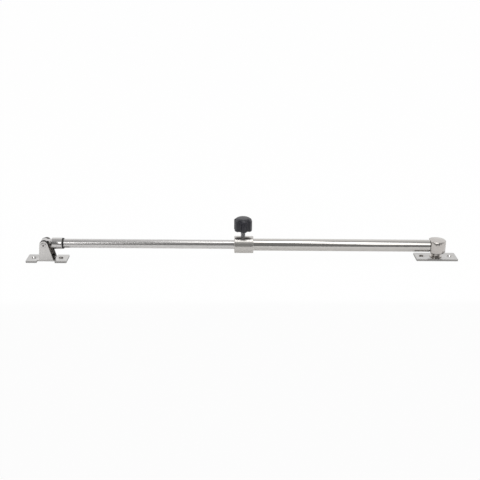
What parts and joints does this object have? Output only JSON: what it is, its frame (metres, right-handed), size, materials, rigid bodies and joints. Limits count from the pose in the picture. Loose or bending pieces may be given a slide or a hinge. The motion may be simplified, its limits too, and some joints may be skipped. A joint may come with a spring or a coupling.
{
  "type": "window security bar",
  "caption": "Telescopic bar that holds a window at a set opening: swivelling turret at one end, clevis bracket at the other, locked by a thumb knob on a clamp collar.",
  "frame": {"origin": "on the turret's swivel axis, at the underside of the turret base plate, which is the centre of its two screw holes", "axes": "+X along the bar from the clevis bracket towards the turret, +Z away from the surface the turret plate is screwed to"},
  "size_m": [0.4534, 0.0196, 0.0485],
  "materials": {
    "satin_steel": "stamped stainless sheet, satin, lightly scuffed",
    "turned_steel": "turned stainless steel",
    "turret_steel": "turned stainless steel, fine satin",
    "polished_tube": "polished stainless tube",
    "polished_collar": "polished turned stainless steel",
    "satin_tube": "drawn stainless tube, satin along its length",
    "rod_end_steel": "turned and milled stainless steel",
    "rivet_steel": "clinched stainless rivet",
    "stud_steel": "zinc plated screw",
    "knob_plastic": "moulded black plastic, fine grain",
    "black_nylon": "moulded black nylon"
  },
  "bodies": {
    "turret_base": {"turret_base_plate": "satin_steel", "swivel_washer": "turned_steel"},
    "outer_assembly": {"turret_head": "turret_steel", "swivel_screw": "turned_steel", "swivel_spacer": "turned_steel", "tube_plug": "turned_steel", "outer_tube": "polished_tube", "clamp_collar": "polished_collar", "mouth_bush": "black_nylon"},
    "guide": {"guide_bush": "black_nylon"},
    "inner_assembly": {"inner_tube": "satin_tube", "guide_journal": "turned_steel", "rod_end": "rod_end_steel", "rod_seal": "black_nylon", "pivot_bush_front": "black_nylon", "pivot_bush_back": "black_nylon"},
    "clevis": {"clevis_bracket": "satin_steel", "pivot_rivet": "rivet_steel"},
    "pad": {"pressure_pad": "black_nylon"},
    "knob": {"knob_stud": "stud_steel", "thumb_knob": "knob_plastic"}
  },
  "joints": [
    {"name": "turret_swivel", "type": "hinge", "parent": "turret_base", "child": "outer_assembly", "pos_m": [0, 0, 0.002], "axis": [0, 0, 1], "continuous": true},
    {"name": "tube_slide", "type": "slide", "parent": "outer_assembly", "child": "guide", "axis": [1, 0, 0], "range_m": [0, 0.1655]},
    {"name": "tube_spin", "type": "hinge", "parent": "guide", "child": "inner_assembly", "pos_m": [-0.2, 0, 0.0136], "axis": [1, 0, 0], "continuous": true},
    {"name": "clevis_pivot", "type": "hinge", "parent": "inner_assembly", "child": "clevis", "pos_m": [-0.4122, 0, 0.0136], "axis": [0, 1, 0], "range_deg": [-14, 205]},
    {"name": "screw_advance", "type": "slide", "parent": "outer_assembly", "child": "pad", "axis": [0, 0, 1], "range_m": [0, 0.002]},
    {"name": "knob_turn", "type": "hinge", "parent": "pad", "child": "knob", "pos_m": [-0.2041, 0, 0.03], "axis": [0, 0, 1], "range_deg": [0, 900]}
  ],
  "couplings": [
    {"joint": "screw_advance", "follows": "knob_turn", "m_per_rad": 0.00012732}
  ]
}
